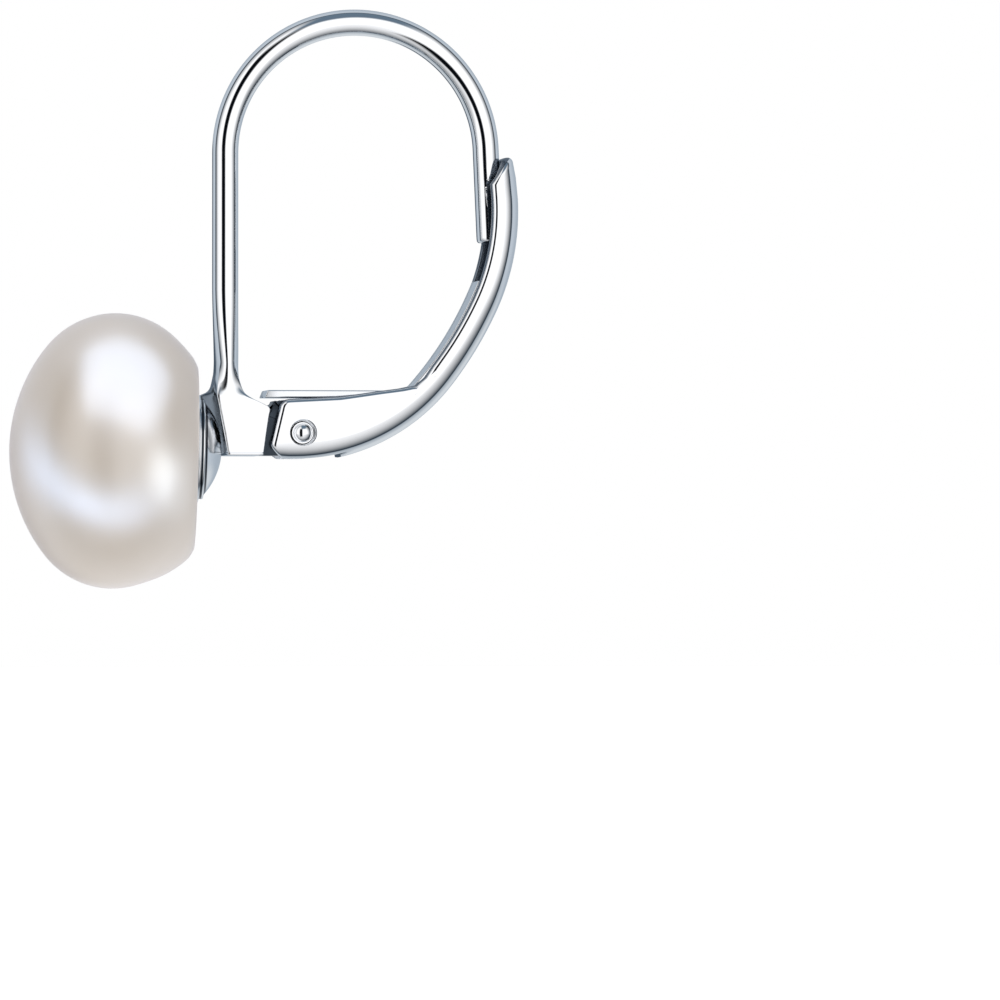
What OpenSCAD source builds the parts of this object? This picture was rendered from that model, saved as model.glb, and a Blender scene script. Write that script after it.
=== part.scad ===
/* [Ear wire] */
// Diameter of the round ear wire
wire_d = 0.86; // [0.80:0.01:0.88]
// Radius of the arch, to the middle of the wire
loop_r = 4.33; // [4.28:0.01:4.36]
// Height of the rivet's axis below the top of the arch
rivet_drop = 13.09; // [12.8:0.01:13.3]
// Length of the rear leg below the arch
rear_leg = 3.08; // [2.6:0.01:3.2]
// Outward lean of the rear leg in degrees
rear_lean = 2.5; // [1:0.1:3]
// Length of the rear tip whose outer side is flattened
tip_flat = 2.0; // [1.5:0.1:2.2]
// Thickness that is left at the flattened tip
tip_t = 0.34; // [0.30:0.01:0.45]

/* [Hinge block] */
// Width of the hinge block, and of the lever beside it
block_w = 2.1; // [2.0:0.01:2.2]
// Width of the knuckle between the lever's ears
knuckle_w = 1.2; // [1.0:0.01:1.24]
// Radius of the knuckle's round heel about the rivet
heel_r = 1.1; // [1.0:0.01:1.12]

/* [Cup] */
// Outside diameter of the cup
cup_d = 3.58; // [3.2:0.01:3.8]
// Outside height of the cup's dome
cup_h = 0.69; // [0.6:0.01:0.75]
// Depth of the dish inside the cup
dish_h = 0.35; // [0.25:0.01:0.4]
// Width of the cup's flat rim
cup_rim = 0.29; // [0.2:0.01:0.4]
// Diameter of the peg
peg_d = 0.76; // [0.6:0.01:0.9]
// Length of the peg beyond the cup's rim
peg_len = 2.6; // [2:0.1:3.5]
// Backward tilt of the cup and the pearl in degrees
cup_tilt = 1.2; // [0:0.1:2]

/* [Pearl] */
// Diameter of the pearl seen from the front
pearl_d = 9.0; // [8.5:0.01:9.2]
// Height of the pearl in front of its widest plane
pearl_front = 3.42; // [3.2:0.01:3.8]
// Height that the back would have if it weren't cut flat
pearl_rear = 3.6; // [3.4:0.01:3.8]
// Height of the flat back behind the widest plane
pearl_back = 2.78; // [2.5:0.01:2.9]
// Profile radius at the pearl's widest plane
pearl_side_r = 2.85; // [2.7:0.01:3.0]
// How far the pearl's middle lies below the peg
pearl_drop = 0.13; // [0:0.01:0.2]

/* [Lever] */
// Thickness of the lever's sheet
sheet_t = 0.35; // [0.30:0.01:0.36]
// Outer radius along the lever's back edges
back_fillet = 0.85; // [0.7:0.01:0.9]
// Depth of the channel's walls above the ears
wall_h = 0.96; // [0.9:0.01:1.0]
// Radius of the ears' nose about the rivet
nose_r = 1.14; // [1.05:0.01:1.15]
// Start of the web between the ears, in front of the rivet
web_x = 1.29; // [1.25:0.01:1.4]

/* [Spring leaf] */
// Thickness of the spring leaf
leaf_t = 0.25; // [0.2:0.01:0.26]
// Width of the spring leaf
leaf_w = 1.26; // [1.0:0.01:1.28]

/* [Rivet] */
// Diameter of the rivet's shank
rivet_d = 0.5; // [0.44:0.01:0.56]
// Diameter of the peened ends
rivet_head_d = 0.62; // [0.58:0.01:0.66]
// Running clearance around the shank in the knuckle
running_gap = 0.02; // [0.01:0.01:0.05]

/* [Hidden] */
$fn = 96;
SILVER = [0.86, 0.88, 0.90];
LEAF_SILVER = [0.72, 0.76, 0.80];
NACRE = [0.82, 0.79, 0.75];

// Gap between pieces that are fixed to each other
seat_gap = 0.03;
// Two lengths of one solid overlap by the weld, and the later one is thinner by the seam,
// so that their tangent faces never coincide
weld = 0.05;
seam = 0.005;
wire_r = wire_d / 2;
arch_z = wire_r - loop_r;

// The hinge is drawn about the rivet's axis: x to the lever's tip, z up.
leg_to_rivet = 2.45;
rivet_x = leg_to_rivet - loop_r;
rivet_z = -rivet_drop;
leg_x = -leg_to_rivet;

// Side outline of the hinge block, clockwise from its upper left corner
block_outline = [
    [-2.86, 1.24],
    [-1.76, 1.27],
    [-1.60, 1.12],
    [-1.16, 0.89],
    [-1.08, 0.79],
    [-1.12, 0.63],
    [-1.22, -0.03],
    [-1.32, -0.74],
    [-2.48, -0.74]
];
block_bottom = -0.74;
knuckle_root = -1.5;
knuckle_top = 0.8;
// The shoulder widens from the round wire to the block: height, left, right, half width
shoulder = [
    [2.35, leg_x - wire_r, leg_x + wire_r, wire_r],
    [1.60, -2.90, -1.91, 0.62],
    [1.14, -2.86, -1.62, block_w / 2 - 0.01]
];
SHOULDER_Z = 0;
SHOULDER_LEFT = 1;
SHOULDER_RIGHT = 2;
SHOULDER_HALF = 3;
shoulder_slab = 0.02;
// Solder between the wire, the block and the top of the cup
neck_outline = [
    [-2.42, 2.04],
    [-2.82, 2.04],
    [-2.90, 1.69],
    [-2.99, 1.43],
    [-3.16, 1.25],
    [-3.12, 0.89],
    [-2.77, 0.09],
    [-2.72, -0.66],
    [-2.32, -0.66]
];
neck_w = 1.1;

// The cup's apex, and its axis to the pearl
cup_x = -2.585;
cup_z = -0.53;
cup_r = cup_d / 2;
cup_ball_r = (cup_r * cup_r + cup_h * cup_h) / (2 * cup_h);
dish_r = cup_r - cup_rim;
dish_ball_r = (dish_r * dish_r + dish_h * dish_h) / (2 * dish_h);
pearl_r = pearl_d / 2;
pearl_mid = cup_h + seat_gap + pearl_back;
peg_hole_floor = 0.1;

// The lever's back is a straight and three arcs, each tangent to the one before:
// radius of the back and its slope where the arc ends
back_arcs = [
    [6.64, 52.3],
    [12.77, 64.8],
    [7.82, 103.5]
];
ARC_R = 0;
ARC_END = 1;
back_start = [-0.21, -0.96];
ear_reach = 1.1;
ear_section_h = 2.5;
// The ears' free edge, from their upper front corner to the channel
ear_edge = [
    [-0.76, 0.94],
    [-0.70, 1.05],
    [-0.57, 1.10],
    [1.22, 1.19],
    [2.53, 1.38],
    [3.38, 1.49],
    [3.73, 1.59],
    [4.03, 1.82]
];
ear_front_low = [-1.10, -0.50];
nose_top = -0.3;
// The lever's tip is cut along a slope from the walls' edge up to its back
tip_cut = [[6.30, 8.32], [6.86, 9.12]];
hole_gap = 0.01;
hole_mouth_d = 0.9;
hole_mouth_floor_d = 0.70;
hole_mouth_h = 0.19;

// The leaf lies flat over the knuckle and bends up into the channel
leaf_z = heel_r + 0.055 + leaf_t / 2;
leaf_front = -1.24;
leaf_bend_r = 0.42;
leaf_lift = 0.78;
leaf_end = 68.1;
leaf_weld = 0.02;

rivet_head_h = 0.05;
rivet_dome_r = 0.36;
rivet_seat = block_w / 2 - hole_mouth_h + weld;

// A point on a back arc, where the arc's slope is t degrees
function on_arc(c, r, t) = [c[0] + r * sin(t), c[1] - r * cos(t)];
function arc_r(i) = back_arcs[i][ARC_R];
function arc_start(i) = i == 0 ? 0 : back_arcs[i - 1][ARC_END];
function arc_end(i) = back_arcs[i][ARC_END];
// Each arc's centre follows from the end of the arc before it
function arc_foot(i) = i == 0 ? back_start : on_arc(arc_centre(i - 1), arc_r(i - 1), arc_start(i));
function arc_centre(i) = arc_foot(i) + arc_r(i) * [-sin(arc_start(i)), cos(arc_start(i))];

// Moves what is drawn about the rivet to its place under the arch
module at_rivet() {
    translate([rivet_x, 0, rivet_z]) children();
}

// Extrudes a side outline across the earring
module across(width) {
    rotate([90, 0, 0]) linear_extrude(width, center = true) children();
}

// Turns a section about a cross axis at c, from slope t0 to slope t1
module swept(c, t0, t1) {
    translate([c[0], 0, c[1]])
        rotate([90, 0, 0])
        rotate([0, 0, t0 - 90])
        rotate_extrude(angle = t1 - t0)
        children();
}

// A bar from x = 0 to x = h with two rounded corners at x = 0
module rounded_bar(h, w, r) {
    half = w / 2;
    polygon([[h, -half], [h, half], [r, half], [0, half - r], [0, r - half], [r, -half]]);
    for (side = [0, 1]) mirror([0, side]) intersection() {
        translate([r, half - r]) circle(r);
        translate([0, half - r]) square(r);
    }
}

// The lever's U section, thinned by t all round, with its back at x = 0 and its walls to x = h
module channel_section(h, t) {
    inner = sheet_t - t;
    difference() {
        translate([t, 0]) rounded_bar(h - 2 * t, block_w - 2 * t, back_fillet - t);
        translate([inner, 0])
            rounded_bar(h, block_w - 2 * inner, back_fillet - inner);
    }
}

module channel_arc(i, h) {
    lap = i == 0 ? 0 : weld / arc_r(i) * 180 / PI;
    swept(arc_centre(i), arc_start(i) - lap, arc_end(i))
        translate([arc_r(i), 0]) mirror([1, 0]) channel_section(h, i * seam);
}

module channel_straight(h) {
    translate([back_start[0] + weld, 0, back_start[1]])
        rotate([0, -90, 0])
        linear_extrude(ear_reach + weld)
        channel_section(h, seam);
}

// What is kept of the deep section: the ears' side outline
module ear_outline() {
    last = arc_end(0);
    edge_end = on_arc(arc_centre(0), arc_r(0) - wall_h, last);
    past = edge_end + [cos(last), sin(last)];
    difference() {
        polygon(concat(
            [ear_front_low],
            ear_edge,
            [edge_end, past, past + [2, -2], [3, -3], [-1.2, -3]]
        ));
        difference() {
            translate([-3, nose_top - 3]) square(3);
            circle(nose_r);
        }
    }
}

module wire_arch() {
    translate([0, 0, arch_z])
        rotate([90, 0, 0])
        rotate([0, 0, rear_lean])
        rotate_extrude(angle = 180 - rear_lean)
        translate([loop_r, 0]) circle(wire_r);
}

module front_leg() {
    leg_end = rivet_z + shoulder[0][SHOULDER_Z] - weld;
    translate([-loop_r, 0, leg_end]) cylinder(h = arch_z + weld - leg_end, r = wire_r - seam);
}

module rear_leg_piece() {
    translate([loop_r * cos(rear_lean), 0, arch_z + loop_r * sin(rear_lean)])
        rotate([0, -rear_lean, 0])
        difference() {
            translate([0, 0, -rear_leg]) cylinder(h = rear_leg + weld, r = wire_r - seam);
            translate([tip_t - wire_r, -wire_d, -rear_leg - 1])
                cube([wire_d, 2 * wire_d, tip_flat + 1]);
        }
}

module shoulder_slab_at(row) {
    translate([row[SHOULDER_LEFT], -row[SHOULDER_HALF], row[SHOULDER_Z]])
        cube([row[SHOULDER_RIGHT] - row[SHOULDER_LEFT], 2 * row[SHOULDER_HALF], shoulder_slab]);
}

// The round wire widens to the block in two steps
module wire_shoulder() {
    hull() {
        translate([leg_x, 0, shoulder[0][SHOULDER_Z]])
            cylinder(h = shoulder_slab, r = wire_r + 4 * seam, $fn = 32);
        shoulder_slab_at(shoulder[1]);
    }
    hull() {
        shoulder_slab_at(shoulder[1]);
        shoulder_slab_at(shoulder[2]);
    }
}

module knuckle() {
    across(knuckle_w) intersection() {
        union() {
            circle(heel_r);
            translate([knuckle_root, block_bottom])
                square([-knuckle_root, knuckle_top - block_bottom]);
        }
        translate([-3, block_bottom]) square([6, 3]);
    }
}

// Draws on the cup's axis: z from the cup's apex towards the pearl
module on_cup_axis() {
    translate([cup_x, 0, cup_z])
        rotate([0, cup_tilt - 90, 0])
        children();
}

module cup_and_peg() {
    difference() {
        intersection() {
            translate([0, 0, cup_ball_r]) sphere(cup_ball_r);
            cylinder(h = cup_h, r = cup_r);
        }
        translate([0, 0, cup_h - dish_h + dish_ball_r]) sphere(dish_ball_r);
    }
    translate([0, 0, dish_h / 2]) cylinder(h = cup_h + peg_len - dish_h / 2, r = peg_d / 2);
}

module ear_wire() {
    color(SILVER) {
        wire_arch();
        front_leg();
        rear_leg_piece();
        at_rivet() difference() {
            union() {
                wire_shoulder();
                across(block_w) polygon(block_outline);
                across(neck_w) polygon(neck_outline);
                knuckle();
                on_cup_axis() cup_and_peg();
            }
            rotate([90, 0, 0]) cylinder(h = 2 * block_w, r = rivet_d / 2 + running_gap, center = true);
        }
    }
}

// Half of the pearl's profile up to height h: a side arc that runs into a flatter end arc
module pearl_half(h) {
    side_x = pearl_r - pearl_side_r;
    end_r = (h * h + side_x * side_x - pearl_side_r * pearl_side_r) / (2 * (h - pearl_side_r));
    meet = [side_x, end_r - h] / (end_r - pearl_side_r);
    intersection() {
        union() {
            translate([side_x, 0]) circle(pearl_side_r);
            intersection() {
                translate([0, h - end_r]) circle(end_r);
                polygon([[0, 0], [side_x, 0], [0, h - end_r] + end_r * meet, [meet[0] * end_r, h], [0, h]]);
            }
        }
        square([pearl_r, h]);
    }
}

module pearl() {
    color(NACRE) at_rivet() on_cup_axis() difference() {
        translate([-pearl_drop, 0, pearl_mid]) rotate_extrude() {
            pearl_half(pearl_front);
            intersection() {
                mirror([0, 1]) pearl_half(pearl_rear);
                translate([0, -pearl_back]) square([pearl_r, pearl_back]);
            }
        }
        translate([0, 0, cup_h])
            cylinder(h = peg_len + peg_hole_floor, r = peg_d / 2 + seat_gap);
    }
}

module lever_hole() {
    rotate([90, 0, 0]) {
        cylinder(h = 2 * block_w, r = rivet_d / 2 + hole_gap, center = true);
        for (side = [0, 1])
            mirror([0, 0, side])
                translate([0, 0, block_w / 2 - hole_mouth_h])
                cylinder(h = hole_mouth_h, r1 = hole_mouth_floor_d / 2, r2 = hole_mouth_d / 2);
    }
}

module lever() {
    slot_w = block_w - 2 * sheet_t;
    color(SILVER) at_rivet() difference() {
        union() {
            intersection() {
                union() {
                    channel_straight(ear_section_h);
                    channel_arc(0, ear_section_h);
                }
                across(2 * block_w) ear_outline();
            }
            channel_arc(1, wall_h);
            channel_arc(2, wall_h);
        }
        translate([-3, -slot_w / 2, -3]) cube([3 + web_x, slot_w, 3]);
        across(2 * block_w) polygon(concat(tip_cut, [[8, 9.12], [8, 12], [5, 12], [5, 8.32]]));
        lever_hole();
    }
}

// The strip's side outline along an arc about c, from slope t0 to slope t1, thinned by t
module strip_arc(c, r, t0, t1, t) {
    far = 2 * r;
    start = t0 - leaf_weld / r * 180 / PI;
    half = leaf_t / 2 - t;
    intersection() {
        translate(c) difference() {
            circle(r + half);
            circle(r - half);
        }
        polygon([c, on_arc(c, far, start), on_arc(c, far, (t0 + t1) / 2), on_arc(c, far, t1)]);
    }
}

module spring_leaf() {
    c = arc_centre(1);
    leg_r = arc_r(1) - leaf_lift;
    bend_z = leaf_z + leaf_bend_r;
    bend_t = acos((c[1] - bend_z) / (leg_r - leaf_bend_r));
    bend_x = c[0] + (leg_r - leaf_bend_r) * sin(bend_t);
    color(LEAF_SILVER) at_rivet() across(leaf_w) {
        translate([leaf_front, leaf_z - leaf_t / 2]) square([bend_x - leaf_front, leaf_t]);
        strip_arc([bend_x, bend_z], leaf_bend_r, 0, bend_t, seam);
        strip_arc(c, leg_r, bend_t, leaf_end, 2 * seam);
    }
}

module rivet_end() {
    dome_drop = sqrt(pow(rivet_dome_r, 2) - pow(rivet_head_d / 2, 2));
    translate([0, 0, rivet_seat]) cylinder(h = rivet_head_h, r = rivet_head_d / 2);
    translate([0, 0, rivet_seat + rivet_head_h - dome_drop]) intersection() {
        sphere(rivet_dome_r);
        translate([0, 0, dome_drop]) cylinder(h = rivet_dome_r, r = rivet_head_d / 2 + 0.01);
    }
}

module rivet() {
    color(SILVER) at_rivet() rotate([90, 0, 0]) {
        cylinder(h = 2 * rivet_seat, r = rivet_d / 2, center = true);
        for (side = [0, 1])
            mirror([0, 0, side]) rivet_end();
    }
}

ear_wire();
pearl();
lever();
spring_leaf();
rivet();
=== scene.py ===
import math

import bmesh
import bpy
from mathutils import Euler, Matrix, Vector


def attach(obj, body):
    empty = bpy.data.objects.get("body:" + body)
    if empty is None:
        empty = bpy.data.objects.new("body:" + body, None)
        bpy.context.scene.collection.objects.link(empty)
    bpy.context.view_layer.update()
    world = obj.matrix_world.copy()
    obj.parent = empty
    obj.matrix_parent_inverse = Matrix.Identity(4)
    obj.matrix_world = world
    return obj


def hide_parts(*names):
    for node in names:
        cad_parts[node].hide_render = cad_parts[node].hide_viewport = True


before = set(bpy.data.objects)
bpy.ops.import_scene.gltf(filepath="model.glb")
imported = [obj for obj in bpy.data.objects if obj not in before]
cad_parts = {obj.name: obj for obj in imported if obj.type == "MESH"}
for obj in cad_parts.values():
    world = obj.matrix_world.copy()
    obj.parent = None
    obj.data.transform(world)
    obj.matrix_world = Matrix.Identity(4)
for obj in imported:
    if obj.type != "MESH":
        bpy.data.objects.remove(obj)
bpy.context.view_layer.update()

# The studio: a light tent round the hanging earring, white in front, pale behind and shaded
# overhead, with a black slit beside the lens that draws the dark line down the polished wire. The
# floor is a lit table.
MM = 0.001
VIEW_AZIMUTH = math.radians(-9.3)
VIEW_ELEVATION = math.radians(-0.6)
LENS = 300
SENSOR = 36
FRAME_WIDTH = 32.9 * MM
FRAME_RIGHT = 4.743 * MM
FRAME_DOWN = 15.276 * MM
TENT_WHITE = (1.14, 1.14, 1.15, 1)
TENT_DARK = (0.03, 0.045, 0.062, 1)
TENT_SHADE = (0.13, 0.185, 0.245, 1)
TENT_PALE = (0.53, 0.59, 0.655, 1)
TENT_BACK = (0.40, 0.46, 0.525, 1)
TENT_LOW = (0.33, 0.38, 0.43, 1)
TENT_LIGHT = (0.66, 0.70, 0.735, 1)
TENT_CORNER = (0.06, 0.085, 0.115, 1)
TENT_BLACK = (0.002, 0.003, 0.005, 1)
SLIT_AZIMUTH = math.radians(-22)
CLIP_NEAR = 0.01
CLIP_FAR = 50
FLOOR_DROP = 50 * MM
FLOOR_SIZE = 6.0
FLOOR_WHITE = (0.9, 0.9, 0.9, 1)
FLOOR_GLOW = 0.8
# The two ends of each fade between the tent's cloths, as shares of the way to the lens, upwards
# or to the right, and how far round the earring the white cloth reaches
WHITE_REACH = 0.6
WHITE_NARROWS = (-0.1, -0.4)
SHADE_UP = (0.55, 0.75)
SHADE_MIDDLE = 0.2
SHADE_SIDES = (0.45, 0.25)
SHADE_FRONT = (-0.1, 0.1)
BACK_FADE = (-0.3, -0.9)
LIGHT_FADE = (-0.1, -0.6)
LOW_FADE = (-0.15, -0.35)
BEHIND_FADE = (-0.06, -0.17)
CORNER_BACK = (-0.6, -0.85)
CORNER_LEFT = (-0.12, -0.28)
CORNER_TOP = (0.11, 0.06)
SLIT_SIDES = (0.37, 0.19)
SLIT_FRONT = (0.0, 0.1)
SLIT_ENDS = (0.8, 0.55)


class Value:
    """A socket of a node tree. Arithmetic on it adds Math nodes."""

    def __init__(self, tree, socket):
        self.tree = tree
        self.socket = socket

    def math(self, operation, *values):
        sockets = dict(enumerate(values))
        return self.tree.node("ShaderNodeMath", {"operation": operation}, sockets)

    def __add__(self, other):
        return self.math("ADD", self, other)

    def __sub__(self, other):
        return self.math("SUBTRACT", self, other)

    def __mul__(self, other):
        return self.math("MULTIPLY", self, other)

    def __truediv__(self, other):
        return self.math("DIVIDE", self, other)

    def __rsub__(self, other):
        return self.math("SUBTRACT", other, self)

    def __rtruediv__(self, other):
        return self.math("DIVIDE", other, self)

    __radd__ = __add__
    __rmul__ = __mul__

    def size(self):
        return self.math("ABSOLUTE", self)

    def ramp(self, low, high, curve="LINEAR"):
        """0 below low and 1 above high; low may be above high."""
        settings = {"interpolation_type": curve}
        sockets = {"Value": self, "From Min": low, "From Max": high}
        return self.tree.node("ShaderNodeMapRange", settings, sockets)

    def step(self, low, high):
        """The same with a soft start and end."""
        return self.ramp(low, high, "SMOOTHSTEP")


class Tree:
    """The nodes of a material or of the world."""

    def __init__(self, owner):
        owner.use_nodes = True
        self.nodes = owner.node_tree.nodes
        self.links = owner.node_tree.links
        self.nodes.clear()

    def node(self, kind, settings=None, sockets=None, out=0):
        made = self.nodes.new(kind)
        for name, value in (settings or {}).items():
            setattr(made, name, value)
        for name, value in (sockets or {}).items():
            if isinstance(value, Value):
                self.links.new(value.socket, made.inputs[name])
            else:
                made.inputs[name].default_value = value
        return Value(self, made.outputs[out]) if made.outputs else None

    def mix(self, factor, a, b):
        """Colour a where factor is 0 and b where it is 1."""
        return self.node("ShaderNodeMix", {"data_type": "RGBA"}, {0: factor, 6: a, 7: b}, out=2)

    def dot(self, vector, axis):
        settings = {"operation": "DOT_PRODUCT"}
        return self.node("ShaderNodeVectorMath", settings, {0: vector, 1: axis}, out=1)

    def noise(self, place, scale, detail):
        sockets = {"Vector": place, "Scale": scale, "Detail": detail}
        return self.node("ShaderNodeTexNoise", sockets=sockets)


def towards(azimuth, elevation=0.0):
    """The direction from the earring to something at this azimuth and elevation."""
    flat = math.cos(elevation)
    return Vector((math.sin(azimuth) * flat, -math.cos(azimuth) * flat, math.sin(elevation)))


def make_tent():
    world = bpy.data.worlds.new("light_tent")
    bpy.context.scene.world = world
    tree = Tree(world)
    ray = tree.node("ShaderNodeTexCoord", out=0)
    lens_side = tree.dot(ray, towards(VIEW_AZIMUTH))
    height = tree.dot(ray, (0, 0, 1))
    across = tree.dot(ray, towards(VIEW_AZIMUTH + math.pi / 2))
    front = lens_side / (WHITE_REACH + (1 - WHITE_REACH) * height.step(*WHITE_NARROWS))
    colour = tree.mix(front.ramp(0.0, 1.0), TENT_DARK, TENT_WHITE)
    over = height.step(*SHADE_UP) * (across - SHADE_MIDDLE).size().step(*SHADE_SIDES)
    colour = tree.mix(over * lens_side.step(*SHADE_FRONT), colour, TENT_SHADE)
    behind = tree.mix(lens_side.step(*BACK_FADE), TENT_PALE, TENT_BACK)
    below = tree.mix(lens_side.ramp(*LIGHT_FADE), TENT_LOW, TENT_LIGHT)
    behind = tree.mix(height.step(*LOW_FADE), behind, below)
    colour = tree.mix(lens_side.step(*BEHIND_FADE), colour, behind)
    corner = lens_side.step(*CORNER_BACK) * across.step(*CORNER_LEFT) * height.step(*CORNER_TOP)
    colour = tree.mix(corner, colour, TENT_CORNER)
    ahead = tree.dot(ray, towards(SLIT_AZIMUTH))
    beside = tree.dot(ray, towards(SLIT_AZIMUTH + math.pi / 2)) / ahead
    slit = beside.size().step(*SLIT_SIDES) * ahead.step(*SLIT_FRONT)
    slit = slit * height.size().step(*SLIT_ENDS)
    colour = tree.mix(slit, colour, TENT_BLACK)
    seen = tree.node("ShaderNodeLightPath", out=0)
    colour = tree.mix(seen, colour, (1, 1, 1, 1))
    lit = tree.node("ShaderNodeBackground", sockets={"Color": colour, "Strength": 1.0})
    tree.node("ShaderNodeOutputWorld", sockets={"Surface": lit})


def make_camera():
    data = bpy.data.cameras.new("camera")
    data.lens = LENS
    data.sensor_width = SENSOR
    data.clip_start = CLIP_NEAR
    data.clip_end = CLIP_FAR
    camera = bpy.data.objects.new("camera", data)
    bpy.context.scene.collection.objects.link(camera)
    back = towards(VIEW_AZIMUTH, VIEW_ELEVATION)
    right = towards(VIEW_AZIMUTH + math.pi / 2)
    up = back.cross(right)
    aim = FRAME_RIGHT * right - FRAME_DOWN * up
    camera.location = aim + back * (FRAME_WIDTH * LENS / SENSOR)
    camera.rotation_euler = back.to_track_quat("Z", "Y").to_euler()
    bpy.context.scene.camera = camera


def make_floor():
    bpy.ops.mesh.primitive_plane_add(size=FLOOR_SIZE, location=(0, 0, -FLOOR_DROP))
    floor = bpy.context.object
    floor.name = "lit_table"
    material = bpy.data.materials.new("lit_table")
    tree = Tree(material)
    sockets = {
        "Base Color": FLOOR_WHITE,
        "Roughness": 0.6,
        "Emission Color": (1, 1, 1, 1),
        "Emission Strength": FLOOR_GLOW,
    }
    surface = tree.node("ShaderNodeBsdfPrincipled", sockets=sockets)
    tree.node("ShaderNodeOutputMaterial", sockets={"Surface": surface})
    floor.data.materials.append(material)
    floor.visible_glossy = False


bpy.context.scene.view_settings.view_transform = "Standard"
make_tent()
make_camera()
make_floor()

# The ear wire and the hinge block, cast in one: a round wire of rhodium-plated silver bent to an
# arch, whose front leg widens into the block and whose rear tip is filed flat for the lever.
WIRE_R = 0.43 * MM
LOOP_R = 4.33 * MM
ARCH_Z = WIRE_R - LOOP_R
LEG_RINGS = 12
ARCH_STEPS = 120
REAR_LEAN = math.radians(2.5)
TIP_T = 0.34 * MM
# The rear leg's rings in mm below the arch: it is filed flat from FLAT_FROM on, and its last
# rings shrink to a rounded end
REAR_RINGS = (0, 0.5, 1.0, 1.08, 1.2, 1.5, 2.0, 2.5, 2.9, 2.97, 3.02, 3.06, 3.08)
FLAT_FROM = 1.08
END_SHRINK = {2.97: 0.98, 3.02: 0.94, 3.06: 0.84, 3.08: 0.7}
RIVET_X = 2.45 * MM - LOOP_R
RIVET_Z = -13.09 * MM
CORNER = 0.06
CORNER_CUTS = 4
RING_CUTS = 9
# Two places this close, in m, are one and the same
SAME = 1e-9
# Height above the rivet, left, right, half width and roundness of the block's sections in mm
BLOCK_ROWS = (
    (-0.745, -2.44, -1.37, 0.99, 0.0),
    (-0.735, -2.475, -1.335, 1.025, 0.0),
    (-0.715, -2.49, -1.32, 1.04, 0.0),
    (-0.665, -2.498, -1.312, 1.045, 0.0),
    (-0.650, -2.487, -1.323, 1.025, 0.0),
    (-0.630, -2.505, -1.305, 1.05, 0.0),
    (-0.03, -2.616, -1.22, 1.05, 0.0),
    (0.55, -2.728, -1.13, 1.05, 0.0),
    (0.70, -2.757, -1.095, 1.05, 0.0),
    (0.78, -2.772, -1.085, 1.05, 0.0),
    (0.85, -2.785, -1.13, 1.05, 0.0),
    (0.95, -2.805, -1.32, 1.05, 0.0),
    (1.06, -2.826, -1.55, 1.045, 0.0),
    (1.15, -2.843, -1.72, 1.035, 0.02),
    (1.30, -2.86, -1.91, 1.00, 0.08),
    (1.60, -2.855, -2.00, 0.925, 0.3),
    (1.95, -2.83, -2.03, 0.83, 0.65),
    (2.35, -2.82, -2.025, 0.725, 1.0),
    (2.80, -2.83, -2.02, 0.62, 1.0),
    (3.30, -2.845, -2.02, 0.53, 1.0),
    (3.80, -2.86, -2.02, 0.47, 1.0),
    (4.30, -2.873, -2.02, 0.44, 1.0),
    (4.70, -2.88, -2.02, 0.43, 1.0),
)
SHOULDER_FOOT = 1.06
SHOULDER_STEP = 0.06
# The silver's finish: how fine its faint waves and the grain of wiping are, the tint of its hazy
# parts, how deep the relief is, its white and the dark colour of the cup's painted rings, a
# painted reflection and shade
WAVE_SCALE = 700.0
GRAIN_SCALE = 9000.0
HAZE_TINT = 0.965
RELIEF = 0.05
SILVER_WHITE = (0.93, 0.94, 0.955, 1)
PAINTED_DARK = (0.02, 0.028, 0.038, 1)


def clear_selection():
    if bpy.context.mode != "OBJECT":
        bpy.ops.object.mode_set(mode="OBJECT")
    bpy.ops.object.select_all(action="DESELECT")


def choose(kind, test):
    """In edit mode, selects the VERT, EDGE or FACE parts whose middle passes the test."""
    bpy.ops.mesh.select_mode(type=kind)
    bpy.ops.mesh.select_all(action="DESELECT")
    mesh = bmesh.from_edit_mesh(bpy.context.edit_object.data)
    parts = {"VERT": mesh.verts, "EDGE": mesh.edges, "FACE": mesh.faces}[kind]
    for part in parts:
        if kind == "VERT":
            middle = part.co
        elif kind == "EDGE":
            middle = (part.verts[0].co + part.verts[1].co) / 2
        else:
            middle = part.calc_center_median()
        part.select_set(test(middle))
    mesh.select_flush_mode()
    bmesh.update_edit_mesh(bpy.context.edit_object.data)


def push(offset):
    """Extrudes what is selected by the offset."""
    bpy.ops.mesh.extrude_region_move(TRANSFORM_OT_translate={"value": offset})


def selected_points():
    mesh = bmesh.from_edit_mesh(bpy.context.edit_object.data)
    return [vert.co.copy() for vert in mesh.verts if vert.select]


def fit_section(left, right, half):
    """Resizes the selected section across X and Y and moves it to its place."""
    points = selected_points()
    low = [min(p[i] for p in points) for i in range(3)]
    high = [max(p[i] for p in points) for i in range(3)]
    middle = Vector([(a + b) / 2 for a, b in zip(low, high)])
    scale = ((right - left) / (high[0] - low[0]), 2 * half / (high[1] - low[1]), 1)
    bpy.ops.transform.resize(value=scale, center_override=middle)
    bpy.ops.transform.translate(value=((left + right) / 2 - middle.x, -middle.y, 0))


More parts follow.
